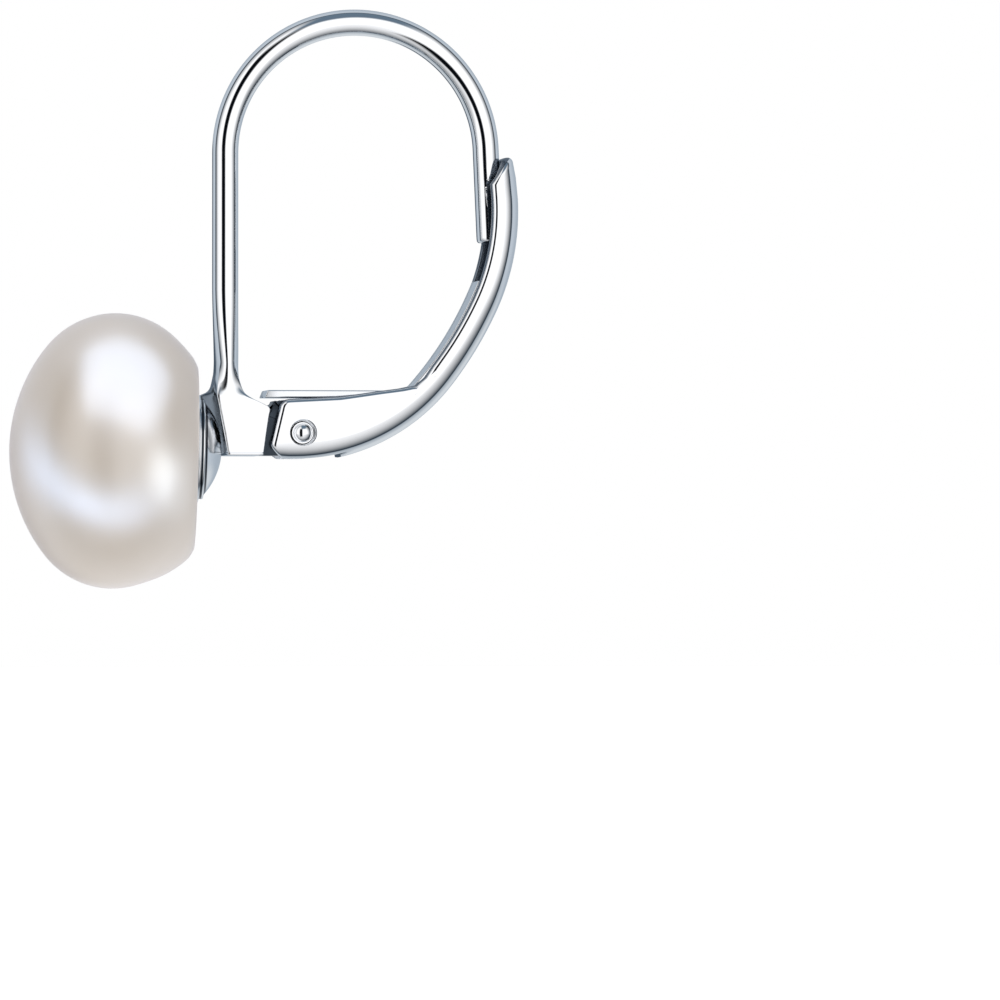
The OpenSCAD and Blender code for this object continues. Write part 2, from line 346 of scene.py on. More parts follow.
def smooth_row(rows, at):
    """The row at the value `at` of the first column, on smooth curves through the rows."""
    i = max(1, next((k for k, row in enumerate(rows) if row[0] >= at), len(rows) - 1))
    a, b = rows[i - 1], rows[i]
    before, after = rows[max(i - 2, 0)], rows[min(i + 1, len(rows) - 1)]
    span = b[0] - a[0]
    t = (at - a[0]) / span
    row = [at]
    for column in range(1, len(a)):
        slope_a = (b[column] - before[column]) / (b[0] - before[0]) * span
        slope_b = (after[column] - a[column]) / (after[0] - a[0]) * span
        flat = 3 * t * t - 2 * t * t * t
        bend_a = t * (1 - t) * (1 - t)
        bend_b = t * t * (1 - t)
        row.append(a[column] * (1 - flat) + b[column] * flat + slope_a * bend_a - slope_b * bend_b)
    return row


def apply_modifier(kind, **settings):
    modifier = bpy.context.object.modifiers.new(kind.lower(), kind)
    for name, value in settings.items():
        setattr(modifier, name, value)
    bpy.ops.object.modifier_apply(modifier=modifier.name)


def complete(name, body, node, material, sharp=35):
    """Ends a piece: applies its place, shades it, names it and hangs it on its body."""
    if bpy.context.mode != "OBJECT":
        bpy.ops.object.mode_set(mode="OBJECT")
    piece = bpy.context.object
    bpy.ops.object.transform_apply(location=True, rotation=True, scale=True)
    bpy.ops.object.shade_smooth_by_angle(angle=math.radians(sharp))
    apply_modifier("WEIGHTED_NORMAL", keep_sharp=True)
    piece.name = name
    piece.data.name = name
    piece.data.materials.clear()
    piece.data.materials.append(material)
    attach(piece, body)
    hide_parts(node)
    clear_selection()
    return piece


def polished_silver(name, colour, roughness, painted_dark=None):
    """Rhodium-plated silver with faint waves and fine wiping marks; where the given mask is 1,
    darkened as painted reflection and shade.
    """
    material = bpy.data.materials.new(name)
    tree = Tree(material)
    place = tree.node("ShaderNodeTexCoord", out=3)
    waves = tree.noise(place, WAVE_SCALE, 2.0)
    grain = tree.noise(place, GRAIN_SCALE, 3.0)
    haze = waves.step(0.35, 0.75)
    tint = tree.mix(haze * 0.5, colour, tuple(c * HAZE_TINT for c in colour[:3]) + (1,))
    # Painted reflection and shade: the colour turns dark where the given mask is 1.
    if painted_dark:
        tint = tree.mix(painted_dark(tree, place), tint, PAINTED_DARK)
    relief = waves * 0.6 + grain * 0.05
    bump_sockets = {"Strength": RELIEF, "Distance": RELIEF * MM, "Height": relief}
    normal = tree.node("ShaderNodeBump", sockets=bump_sockets)
    sockets = {
        "Base Color": tint,
        "Metallic": 1.0,
        "Roughness": roughness + 0.03 * haze + 0.02 * grain,
        "Normal": normal,
    }
    surface = tree.node("ShaderNodeBsdfPrincipled", sockets=sockets)
    tree.node("ShaderNodeOutputMaterial", sockets={"Surface": surface})
    return material


def begin_mesh():
    """Goes into edit mode on the primitive just added, with its place applied and all selected."""
    bpy.ops.object.transform_apply(location=True, rotation=True, scale=True)
    bpy.ops.object.mode_set(mode="EDIT")
    bpy.ops.mesh.select_all(action="SELECT")


def tidy_mesh(reach=1e-7):
    bpy.ops.mesh.select_all(action="SELECT")
    bpy.ops.mesh.remove_doubles(threshold=reach)
    bpy.ops.mesh.normals_make_consistent(inside=False)


def close_ring(height):
    """Fills the open section at this height."""
    choose("EDGE", lambda p: abs(p.z - height) < 1e-8)
    bpy.ops.mesh.edge_face_add()


def fit_row(row):
    left, right, half = (value * MM for value in row[1:4])
    fit_section(RIVET_X + left, RIVET_X + right, half)


def begin_section(rows):
    """A rectangle with rounded corners and many vertices, for the lowest of the rows."""
    clear_selection()
    bpy.ops.mesh.primitive_plane_add(size=2 * MM, location=(0, 0, RIVET_Z + rows[0][0] * MM))
    begin_mesh()
    bpy.ops.mesh.bevel(
        offset=CORNER * MM, offset_type="OFFSET", segments=CORNER_CUTS, affect="VERTICES")
    bpy.ops.mesh.delete(type="ONLY_FACE")
    long_side = (1 - CORNER) * MM * 0.5
    choose("EDGE", lambda p: min(abs(p.x), abs(p.y)) < long_side)
    bpy.ops.mesh.subdivide(number_cuts=RING_CUTS)
    bpy.ops.mesh.select_all(action="SELECT")
    fit_row(rows[0])


def loft(rows, heights):
    """Extrudes the open section up through the heights, each fitted to the rows."""
    round_so_far = 0.0
    for below, height in zip(heights, heights[1:]):
        push((0, 0, (height - below) * MM))
        row = smooth_row(rows, height)
        roundness = min(1.0, row[4])
        if roundness > round_so_far:
            share = (roundness - round_so_far) / (1 - round_so_far)
            fit_section(-MM, MM, MM)
            bpy.ops.transform.tosphere(value=share)
            round_so_far = roundness
        fit_row(row)


def make_wire_and_block():
    begin_section(BLOCK_ROWS)
    heights = [row[0] for row in BLOCK_ROWS if row[0] <= SHOULDER_FOOT]
    top = BLOCK_ROWS[-1][0]
    count = round((top - SHOULDER_FOOT) / SHOULDER_STEP)
    heights += [SHOULDER_FOOT + (top - SHOULDER_FOOT) * (i + 1) / count for i in range(count)]
    loft(BLOCK_ROWS, heights)
    leg_top = ARCH_Z - (RIVET_Z + top * MM)
    for i in range(LEG_RINGS):
        push((0, 0, leg_top / LEG_RINGS))
    turn = math.pi - REAR_LEAN
    bpy.ops.mesh.spin(steps=ARCH_STEPS, angle=-turn, center=(0, 0, ARCH_Z), axis=(0, 1, 0))
    down = Vector((math.sin(REAR_LEAN), 0, -math.cos(REAR_LEAN)))
    outward = Vector((math.cos(REAR_LEAN), 0, math.sin(REAR_LEAN)))
    leg_head = Vector((LOOP_R * math.cos(REAR_LEAN), 0, ARCH_Z + LOOP_R * math.sin(REAR_LEAN)))
    flat_face = TIP_T - WIRE_R
    for above, length in zip(REAR_RINGS, REAR_RINGS[1:]):
        push(down * (length - above) * MM)
        centre = leg_head + down * length * MM
        if length == FLAT_FROM:
            for point in selected_points():
                gap = flat_face - (point - centre).dot(outward)
                if gap < 0:
                    choose("VERT", lambda p: (p - point).length < SAME)
                    bpy.ops.transform.translate(value=outward * gap)
            choose("VERT", lambda p: abs((p - centre).dot(down)) < 1e-6 and p.x > 3 * MM)
        if length in END_SHRINK:
            middle = centre + outward * (flat_face - WIRE_R) / 2
            factor = END_SHRINK[length]
            bpy.ops.transform.resize(value=(factor, factor, 1), center_override=middle)
    bpy.ops.mesh.select_mode(type="EDGE")
    bpy.ops.mesh.edge_face_add()
    close_ring(RIVET_Z + BLOCK_ROWS[0][0] * MM)
    tidy_mesh()
    complete("wire_and_block", "hook", "ear_wire", silver)


silver = polished_silver("rhodium_silver", SILVER_WHITE, 0.035)
make_wire_and_block()

# The neck: silver solder drawn up between the wire, the block and the back of the cup, where it
# has set in a smooth hollow.
NECK_ROWS = (
    (-0.66, -2.66, -2.32, 0.20, 0.0),
    (-0.30, -2.66, -2.32, 0.26, 0.0),
    (0.09, -2.74, -2.32, 0.30, 0.0),
    (0.50, -2.94, -2.35, 0.30, 0.0),
    (0.89, -3.18, -2.40, 0.30, 0.1),
    (1.10, -3.34, -2.42, 0.30, 0.25),
    (1.20, -3.34, -2.42, 0.29, 0.3),
    (1.27, -3.22, -2.42, 0.28, 0.4),
    (1.33, -3.08, -2.42, 0.27, 0.5),
    (1.45, -2.97, -2.40, 0.26, 0.6),
    (1.69, -2.90, -2.30, 0.24, 0.8),
    (2.04, -2.83, -2.20, 0.22, 1.0),
)
NECK_STEP = 0.06


def make_neck():
    """Lofts the solder up into the block, where its upper end stays open."""
    begin_section(NECK_ROWS)
    low, top = NECK_ROWS[0][0], NECK_ROWS[-1][0]
    count = round((top - low) / NECK_STEP)
    loft(NECK_ROWS, [low + (top - low) * i / count for i in range(count + 1)])
    close_ring(RIVET_Z + low * MM)
    tidy_mesh()
    complete("solder_neck", "hook", "ear_wire", solder, sharp=60)


# The solder's dark blue-grey is painted shade in the hollow between the wire, the block and the
# cup.
solder = polished_silver("solder", (0.19, 0.225, 0.265, 1), 0.2)
make_neck()

# The knuckle: the thin rounded plate of the block that the lever turns on. It is cast with the
# block, its heel is filed round, and the rivet runs in its bore.
KNUCKLE_W = 1.2 * MM
HEEL_R = 1.1 * MM
BORE_R = 0.27 * MM
KNUCKLE_ROOT = -1.5 * MM
KNUCKLE_TOP = 0.8 * MM
KNUCKLE_EDGE = 0.04 * MM
BLOCK_FOOT = -0.74 * MM
# The horn: a flat top from HORN_LEFT to HORN_RIGHT, stretched out to the left
HORN_TOP = 1.05 * MM
HORN_LEFT = -0.72 * MM
HORN_RIGHT = -0.3 * MM
HORN_STRETCH = 1.48
HORN_FOOT = Vector((-1.09 * MM, 0, 0.82 * MM))


def flatten(test, axis, place):
    """Moves the vertices that pass the test onto the plane at this place of the axis."""
    choose("VERT", test)
    scale = [1, 1, 1]
    scale[axis] = 0
    centre = [0, 0, 0]
    centre[axis] = place
    bpy.ops.transform.resize(value=scale, center_override=centre)


def make_knuckle():
    clear_selection()
    turned = (math.pi / 2, 0, 0)
    bpy.ops.mesh.primitive_circle_add(vertices=120, radius=BORE_R, rotation=turned)
    begin_mesh()
    bpy.ops.mesh.extrude_edges_move()
    grow = HEEL_R / BORE_R
    bpy.ops.transform.resize(value=(grow, 1, grow))
    corner = -math.sqrt(HEEL_R ** 2 - KNUCKLE_TOP ** 2)
    rim = HEEL_R * 0.98
    flatten(lambda p: p.length > rim and p.x < corner and p.z < KNUCKLE_TOP, 0, KNUCKLE_ROOT)
    flatten(lambda p: p.length > rim and p.z < BLOCK_FOOT, 2, BLOCK_FOOT)
    flatten(lambda p: p.length > rim and HORN_LEFT < p.x < HORN_RIGHT and p.z > 0, 2, HORN_TOP)
    bpy.ops.transform.resize(value=(HORN_STRETCH, 1, 1), center_override=(HORN_RIGHT, 0, 0))
    beside = HORN_LEFT - KNUCKLE_EDGE
    choose("VERT", lambda p: p.length > rim and beside < p.x < HORN_LEFT and p.z > 0)
    bpy.ops.transform.translate(value=HORN_FOOT - selected_points()[0])
    bpy.ops.mesh.select_all(action="SELECT")
    bpy.ops.transform.translate(value=(0, -KNUCKLE_W / 2, 0))
    push((0, KNUCKLE_W, 0))
    tidy_mesh()
    on_side = KNUCKLE_W / 2 - 1e-7
    choose("EDGE", lambda p: abs(p.y) > on_side and math.hypot(p.x, p.z) > rim * 0.99)
    bpy.ops.mesh.bevel(offset=KNUCKLE_EDGE, offset_type="OFFSET", segments=3, affect="EDGES")
    bpy.ops.mesh.select_all(action="SELECT")
    bpy.ops.transform.translate(value=(RIVET_X, 0, RIVET_Z))
    tidy_mesh()
    complete("hinge_knuckle", "hook", "ear_wire", knuckle_shade_silver)


# The knuckle's near-black silver is painted shade for the gap between the ears and the block.
knuckle_shade_silver = polished_silver("knuckle_shade_silver", (0.055, 0.068, 0.085, 1), 0.28)
make_knuckle()

# The cup and its peg: a shallow dish of silver turned with a fine bead, with two dark rings of
# painted reflection and shade, and soldered to the block by its back; the peg is cemented into the
# pearl.
CUP_APEX = Vector((RIVET_X - 2.585 * MM, -0.16 * MM, RIVET_Z - 0.53 * MM))
CUP_TURN = (0, math.radians(1.2 - 90), math.radians(-5))
CUP_R = 1.76 * MM
CUP_H = 0.82 * MM
CUP_RIM = 0.29 * MM
CUP_EDGE = 0.05 * MM
BEAD_AT = 44
BEAD_END = 46.6
BEAD_R = 0.06 * MM
RIM_SINK = 0.02 * MM
DISH_H = 0.35 * MM
PEG_R = 0.38 * MM
PEG_LEN = 2.6 * MM
# The dark rings' height above the cup's apex, and their width
DARK_RINGS = (0.55 * MM, 0.685 * MM)
DARK_RING_W = 0.085 * MM


def lathe(rings, axis_x=0.0):
    """Extrudes the selected disc through rings of (radius, height) about the Z axis."""
    for (radius, height), (next_radius, next_height) in zip(rings, rings[1:]):
        push((0, 0, next_height - height))
        scale = next_radius / radius
        centre = (axis_x, 0, next_height)
        bpy.ops.transform.resize(value=(scale, scale, 1), center_override=centre)


def begin_lathe(radius, height, count=96):
    clear_selection()
    place = (0, 0, height)
    bpy.ops.mesh.primitive_circle_add(
        vertices=count, radius=radius, fill_type="NGON", location=place)
    begin_mesh()
    bpy.ops.mesh.select_mode(type="FACE")
    bpy.ops.mesh.select_all(action="SELECT")


def arc_rings(centre_r, centre_h, radius, start, end, count):
    """Rings along an arc of the profile, from one angle above the radius axis to another."""
    angles = [math.radians(start + (end - start) * i / count) for i in range(count + 1)]
    return [(centre_r + radius * math.cos(a), centre_h + radius * math.sin(a)) for a in angles]


def place_on_cup_axis():
    bpy.ops.object.mode_set(mode="OBJECT")
    piece = bpy.context.object
    piece.location = CUP_APEX
    piece.rotation_euler = CUP_TURN


def make_cup():
    ball = (CUP_R ** 2 + CUP_H ** 2) / (2 * CUP_H)
    dish_r = CUP_R - CUP_RIM
    dish_ball = (dish_r ** 2 + DISH_H ** 2) / (2 * DISH_H)
    rings = arc_rings(0, ball, ball, -88.5, -90 + BEAD_AT - 2, 26)
    around = math.radians(BEAD_AT)
    bead_r, bead_h = ball * math.sin(around), ball * (1 - math.cos(around))
    rings += arc_rings(bead_r, bead_h, BEAD_R, BEAD_AT - 170, BEAD_AT - 10, 10)
    around = math.radians(BEAD_END)
    sunk = ball - RIM_SINK
    rings += [(sunk * math.sin(around), ball - sunk * math.cos(around))]
    rings += arc_rings(CUP_R - CUP_EDGE, CUP_H - CUP_EDGE, CUP_EDGE, -20, 90, 6)
    rings += arc_rings(dish_r + CUP_EDGE, CUP_H - CUP_EDGE, CUP_EDGE, 90, 120, 3)
    dish_edge = math.degrees(math.asin((dish_ball - DISH_H) / dish_ball))
    dish_z = CUP_H - DISH_H + dish_ball
    peg_angle = math.degrees(math.acos((PEG_R + CUP_EDGE) / dish_ball))
    rings += arc_rings(0, dish_z, dish_ball, -dish_edge - 1, -peg_angle, 14)
    foot = rings[-1][1]
    tip = CUP_H + PEG_LEN
    rings += [(PEG_R, foot + CUP_EDGE), (PEG_R, tip - CUP_EDGE)]
    rings += [(PEG_R - CUP_EDGE, tip), (PEG_R * 0.3, tip)]
    begin_lathe(*rings[0])
    lathe(rings)
    tidy_mesh()
    place_on_cup_axis()
    complete("pearl_cup", "hook", "ear_wire", turned_silver, sharp=30)


def dark_rings(tree, place):
    """1 in the cup's dark rings, painted reflection and shade, and 0 beside them."""
    axis = Euler(CUP_TURN).to_matrix() @ Vector((0, 0, 1))
    height = tree.dot(place, axis) - CUP_APEX.dot(axis)
    first, second = (
        (height - ring).size().step(DARK_RING_W * 0.6, DARK_RING_W * 0.3) for ring in DARK_RINGS)
    return first + second


# The cup's two dark rings are painted reflection and shade.
turned_silver = polished_silver("turned_silver", SILVER_WHITE, 0.13, painted_dark=dark_rings)
make_cup()

# The pearl: a cultured button pearl, flattened on both faces and a little uneven, drilled half
# through and cemented on the peg with its flat back to the cup.
PEARL_R = 4.5 * MM
PEARL_FRONT = 3.42 * MM
PEARL_REAR = 3.6 * MM
PEARL_BACK = 2.68 * MM
PEARL_SIDE_R = 2.85 * MM
PEARL_DROP = 0.13 * MM
PEARL_MID = CUP_H + 0.02 * MM + PEARL_BACK
BACK_RINGS = (0.9, 1.6, 2.2, 2.5)
BACK_EDGE = 0.05 * MM
HOLE_R = 0.41 * MM
HOLE_FLOOR = CUP_H + PEG_LEN + 0.1 * MM
HOLE_LIP = 0.03 * MM
# Where on the pearl its growth bulged or sank: azimuth, distance from the axis, height from the
# middle, reach and amount in mm
PEARL_BUMPS = (
    (200, 4.5, 0.5, 2.6, 0.05),
    (120, 4.5, 1.4, 2.2, -0.05),
    (20, 4.5, -0.8, 2.4, 0.035),
    (290, 4.5, 1.0, 2.8, 0.045),
    (250, 4.5, -1.2, 2.2, -0.04),
    (60, 4.5, 2.2, 2.4, 0.03),
    (148, 2.85, -2.68, 2.2, 0.17),
    (180, 2.85, -2.68, 2.4, 0.33),
    (212, 2.85, -2.68, 2.2, 0.17),
    (340, 4.5, 2.0, 2.0, -0.03),
)


def end_arc(height):
    """Centre height and radius of the arc that ends the pearl this far from its middle."""
    side_x = PEARL_R - PEARL_SIDE_R
    radius = height ** 2 + side_x ** 2 - PEARL_SIDE_R ** 2
    radius /= 2 * (height - PEARL_SIDE_R)
    return height - radius, radius


def pearl_rings():
    """The pearl's profile: flat back, rounded edge, domed rear, tight side and domed front."""
    side_x = PEARL_R - PEARL_SIDE_R
    rear_c, rear_r = end_arc(PEARL_REAR)
    front_c, front_r = end_arc(PEARL_FRONT)
    back = PEARL_MID - PEARL_BACK
    flat_r = math.sqrt(rear_r ** 2 - (PEARL_BACK - rear_c) ** 2)
    rear_turn = math.degrees(math.atan2(-rear_c, side_x))
    front_turn = math.degrees(math.atan2(-front_c, side_x))
    edge = math.degrees(math.atan2(PEARL_BACK - rear_c, flat_r)) - 3
    rings = [(radius * MM, back) for radius in BACK_RINGS]
    rings += [(flat_r - 0.09 * MM, back), (flat_r + 0.02 * MM, back + BACK_EDGE)]
    rings += arc_rings(0, PEARL_MID - rear_c, rear_r, -edge, -rear_turn, 8)
    rings += arc_rings(side_x, PEARL_MID, PEARL_SIDE_R, -rear_turn + 2, front_turn, 48)
    rings += arc_rings(0, PEARL_MID + front_c, front_r, front_turn + 1.5, 89.6, 26)
    return rings


def make_pearl():
    hole = [(HOLE_R * 0.2, HOLE_FLOOR), (HOLE_R, HOLE_FLOOR)]
    hole += [(HOLE_R, CUP_H + BACK_EDGE), (HOLE_R + HOLE_LIP, CUP_H + HOLE_LIP)]
    begin_lathe(*hole[0], count=128)
    lathe(hole)
    push((-PEARL_DROP, 0, 0))
    rings = pearl_rings()
    scale = rings[0][0] / hole[-1][0]
    centre = (-PEARL_DROP, 0, rings[0][1])
    bpy.ops.transform.resize(value=(scale, scale, 1), center_override=centre)
    lathe(rings, axis_x=-PEARL_DROP)
    tidy_mesh()
    for azimuth, distance, height, reach, amount in PEARL_BUMPS:
        angle = math.radians(azimuth)
        out = Vector((math.cos(angle), math.sin(angle), 0))
        middle = Vector((-PEARL_DROP, 0, PEARL_MID))
        spot = middle + (out * distance + Vector((0, 0, height))) * MM
        bpy.ops.mesh.select_all(action="SELECT")
        near = min(selected_points(), key=lambda p: (p - spot).length)
        choose("VERT", lambda p: (p - near).length < SAME)
        bpy.ops.transform.translate(
            value=out * amount * MM,
            use_proportional_edit=True,
            proportional_edit_falloff="SMOOTH",
            proportional_size=reach * MM,
        )
    place_on_cup_axis()
    return complete("button_pearl", "hook", "pearl", nacre(), sharp=30)


# The nacre's finish: its cream, the pinker cream of its clouds and its sheen, how fine the clouds
# and the skin are, and the share of its surface that mirrors as a silky lustre
NACRE_CREAM = (0.52, 0.428, 0.326, 1)
NACRE_PINK = (0.545, 0.462, 0.378, 1)
NACRE_SHEEN = (1.0, 0.93, 0.95, 1)
CLOUD_SCALE = 220.0
SKIN_SCALE = 1500.0
LUSTRE = 0.15


def nacre():
    """Lustrous nacre: cream with soft clouds of pink, a pale sheen and an even silky lustre."""
    material = bpy.data.materials.new("nacre")
    tree = Tree(material)
    place = tree.node("ShaderNodeTexCoord", out=3)
    clouds = tree.noise(place, CLOUD_SCALE, 2.0)
    skin = tree.noise(place, SKIN_SCALE, 3.0)
    body = tree.mix(clouds.step(0.3, 0.7), NACRE_CREAM, NACRE_PINK)
    bump_sockets = {"Strength": 0.08, "Distance": 0.02 * MM, "Height": clouds + 0.3 * skin}
    normal = tree.node("ShaderNodeBump", sockets=bump_sockets)
    roughness = 0.34 + 0.05 * clouds
    sockets = {
        "Base Color": body,
        "Roughness": roughness,
        "Normal": normal,
        "IOR": 1.35,
        "Sheen Weight": 0.6,
        "Sheen Roughness": 0.5,
        "Sheen Tint": NACRE_SHEEN,
    }
    skin_layer = tree.node("ShaderNodeBsdfPrincipled", sockets=sockets)
    sockets = {
        "Base Color": (1, 1, 1, 1),
        "Metallic": 1.0,
        "Roughness": roughness,
        "Normal": normal,
    }
    lustre = tree.node("ShaderNodeBsdfPrincipled", sockets=sockets)
    surface = tree.node("ShaderNodeMixShader", sockets={0: LUSTRE, 1: skin_layer, 2: lustre})
    tree.node("ShaderNodeOutputMaterial", sockets={"Surface": surface})
    return material


SOFTBOX_REACH = 80 * MM


def add_softbox(name, subject, clock, tilt, spread, depth, radiance, tint):
    """A softbox that only the subject mirrors, tilted off the lens at the clock angle."""
    lens = towards(VIEW_AZIMUTH)
    turn = math.radians(clock)
    lean = math.radians(tilt)
    sideways = towards(VIEW_AZIMUTH + math.pi / 2) * math.cos(turn)
    outward = sideways + Vector((0, 0, math.sin(turn)))
    away = lens * math.cos(lean) + outward * math.sin(lean)
    along = lens.cross(outward)
    data = bpy.data.lights.new(name, "AREA")
    data.shape = "RECTANGLE"
    data.size = 2 * SOFTBOX_REACH * math.tan(math.radians(spread) / 2)
    data.size_y = 2 * SOFTBOX_REACH * math.tan(math.radians(depth) / 2)
    data.energy = radiance * math.pi * data.size * data.size_y
    data.color = tint
    lamp = bpy.data.objects.new(name, data)
    bpy.context.scene.collection.objects.link(lamp)
    middle = sum((Vector(corner) for corner in subject.bound_box), Vector()) / 8
    lamp.location = middle + away * SOFTBOX_REACH
    lamp.rotation_euler = Matrix((along, away.cross(along), away)).transposed().to_euler()
    lamp.visible_camera = False
    lamp.visible_diffuse = False
    lamp.light_linking.receiver_collection = pearl_only
    return lamp


# Clock angle, tilt off the lens, width and depth in degrees, radiance and tint of each softbox
OVERHEAD = (77, 63, 94, 82, 3.95, (0.65, 0.78, 1.0))
RIGHT = (342, 71, 22, 36, 4.6, (0.84, 0.93, 1.0))
SLIT_COVER = (180, 16, 76, 22, 0.3, (1, 0.97, 0.93))
TOP_FILL = (98, 98, 90, 70, 1.08, (1, 0.98, 0.97))
# Clock angle, tilt off the lens and radiance of the small softboxes that form a crescent
CRESCENT_WIDTH = 20
CRESCENT_DEPTH = 26
CRESCENT_TINT = (0.50, 0.68, 1.0)
CRESCENT = (
    (176, 118, 0.7),
    (184, 108, 1.7),
    (192, 94, 2.8),
    (202, 78, 3.7),
    (216, 64, 3.9),
    (232, 56, 4.1),
    (250, 52, 3.7),
    (268, 51, 3.1),
    (286, 53, 2.8),
    (302, 57, 2.5),
    (316, 65, 1.4),
    (328, 76, 1.0),
    (338, 90, 0.7),
)
button = make_pearl()
button.visible_glossy = False
pearl_only = bpy.data.collections.new("pearl_only")
pearl_only.objects.link(button)
add_softbox("softbox_overhead", button, *OVERHEAD)
add_softbox("softbox_right", button, *RIGHT)
add_softbox("slit_cover", button, *SLIT_COVER)
fill = add_softbox("top_fill", button, *TOP_FILL)
fill.visible_diffuse = True
fill.visible_glossy = False
for number, (clock, tilt, radiance) in enumerate(CRESCENT):
    add_softbox(
        "softbox_crescent_%d" % number, button, clock, tilt, CRESCENT_WIDTH, CRESCENT_DEPTH,
        radiance, CRESCENT_TINT)

# The lever: a strip of silver sheet formed to a channel with a round back, whose walls stand up
# to two ears in front. The ears hold the rivet on both sides of the knuckle, and between them the
# back is cut away.
SHEET_T = 0.35 * MM
LEVER_W = 2.1 * MM
BACK_FILLET = 0.76 * MM
FILLET_STEPS = 22
# The fillet's step where the slot cuts it, and the walls' top above the back's middle in mm
SLOT_ROW = 8
WALL_TOP = 0.96
WALL_H = WALL_TOP * MM
SLOT_HALF = 0.70 * MM
EAR_INNER = 0.45 * MM
# The slot behind the knuckle: faces are cut out up to SLOT_END, its side edges are straightened up
# to SLOT_NEAR, and its edges stay unrounded up to SLOT_FAR and deeper than SLOT_DEPTH
SLOT_END = 1.27
SLOT_NEAR = 1.32
SLOT_FAR = 1.54
SLOT_DEPTH = 0.3 * MM
# The back: centre, radius and number of steps of each arc, with its slopes at start and end
ARCS = (
    (-0.21, 5.68, 6.64, 24, 0.0, 52.3),
    (-5.063, 9.427, 12.77, 8, 52.3, 64.8),
    (-0.584, 7.319, 7.82, 19, 64.8, 93.0),
)
# The ears' free edge, first sections and front edge, in mm from the rivet's axis
EAR_EDGE = (
    (-1.40, 1.05),
    (-0.57, 1.10),
    (1.22, 1.19),
    (2.53, 1.38),
    (3.38, 1.49),
    (3.73, 1.59),
    (4.03, 1.82),
    (4.284, 2.207),
)
EAR_START = (-1.3, -0.45, -0.21)
EAR_FRONT = ((-1.10, -0.50), (-0.76, 0.94))
NOSE_R = 1.17
NOSE_TOP = -0.42
EAR_CORNER = 0.2 * MM
EAR_LIFT = 0.02 * MM
# The tip: its sections, the slope it ends at, and how far and how steeply its end turns back
TIP_STEPS = 2
TIP_SLOPE = 103.4
TIP_SHEAR = 6.1
TIP_CURVE = 1.3
RIM_OUTER = 0.18 * MM
RIM_INNER = 0.08 * MM
RIM_ANGLE = 50
# Radius and height in mm of the drill that cuts the rivet's hole with its two countersinks
HOLE_RINGS = ((0.02, -1.3), (0.52, -1.3), (0.52, -1.18), (0.35, -0.86), (0.26, -0.86),
              (0.26, 0.86), (0.35, 0.86), (0.52, 1.18), (0.52, 1.3), (0.02, 1.3))


def at_hinge(x, z):
    """The point at x and z in mm from the rivet's axis."""
    return Vector((RIVET_X + x * MM, 0, RIVET_Z + z * MM))


def lay_across_hinge():
    """Turns the finished lathe work onto the rivet's axis."""
    bpy.ops.object.mode_set(mode="OBJECT")
    piece = bpy.context.object
    piece.rotation_euler = (math.pi / 2, 0, 0)
    piece.location = at_hinge(0, 0)


def edge_height(x):
    """Height of the ears' free edge above the rivet's axis, in mm."""
    for (x0, z0), (x1, z1) in zip(EAR_EDGE, EAR_EDGE[1:]):
        if x <= x1:
            return z0 + (z1 - z0) * (x - x0) / (x1 - x0)
    return EAR_EDGE[-1][1]


def ear_columns():
    """The top of the wall and the ears' free edge above it, for every section of the ears."""
    columns = [((x, 0.0), (x, edge_height(x))) for x in EAR_START]
    centre_x, centre_z, radius, steps, start, end = ARCS[0]
    wall_r = radius - WALL_H / MM
    search_from, search_step = 0.2, 0.001
    for i in range(1, steps):
        slope = math.radians(start + (end - start) * i / steps)
        out_x, out_z = math.sin(slope), -math.cos(slope)
        reach = wall_r + search_from
        while centre_z + reach * out_z < edge_height(centre_x + reach * out_x):
            reach -= search_step
        top = (centre_x + wall_r * out_x, centre_z + wall_r * out_z)
        columns.append((top, (centre_x + reach * out_x, centre_z + reach * out_z)))
    return columns


def fillet_rows():
    """Depth and half width of the section's rows, from the slot's edge to the wall."""
    rows = []
    for i in range(FILLET_STEPS + 1):
        angle = math.radians(90 * i / FILLET_STEPS)
        depth = BACK_FILLET * (1 - math.cos(angle))
        rows.append((depth, LEVER_W / 2 - BACK_FILLET * (1 - math.sin(angle))))
    return rows


def shift_at(place, new_place):
    """Moves the vertices at this place of the XZ plane."""
    reach = 5e-7
    choose("VERT", lambda p: abs(p.x - place.x) < reach and abs(p.z - place.z) < reach)
    bpy.ops.transform.translate(value=new_place - place)


def make_channel():
    """Sweeps the back's section and the walls along the ears and round the arcs to the tip."""
    clear_selection()
    upright = (math.pi / 2, 0, math.pi / 2)
    start = at_hinge(EAR_START[0], -WALL_TOP) + Vector((0, 0, LEVER_W / 2))
    bpy.ops.mesh.primitive_plane_add(size=LEVER_W, rotation=upright, location=start)
    begin_mesh()
    middle_z = start.z
    choose("VERT", lambda p: p.z > middle_z)
    bpy.ops.transform.translate(value=(0, 0, WALL_H - LEVER_W))
    choose("VERT", lambda p: p.z < middle_z - LEVER_W * 0.4)
    bpy.ops.mesh.bevel(
        offset=BACK_FILLET, offset_type="OFFSET", segments=FILLET_STEPS, affect="VERTICES")
    bpy.ops.mesh.delete(type="ONLY_FACE")
    wall_top = RIVET_Z
    choose("EDGE", lambda p: p.z > wall_top - 1e-8)
    bpy.ops.mesh.delete(type="EDGE")
    bpy.ops.mesh.select_all(action="SELECT")
    for x, next_x in zip(EAR_START, EAR_START[1:]):
        push(((next_x - x) * MM, 0, 0))
    for centre_x, centre_z, radius, steps, slope, end in ARCS:
        bpy.ops.mesh.spin(
            steps=steps, angle=math.radians(end - slope), center=at_hinge(centre_x, centre_z),
            axis=(0, 1, 0))
    bpy.ops.mesh.spin(
        steps=TIP_STEPS, angle=math.radians(TIP_SLOPE - ARCS[-1][5]),
        center=at_hinge(*ARCS[-1][:2]), axis=(0, 1, 0))


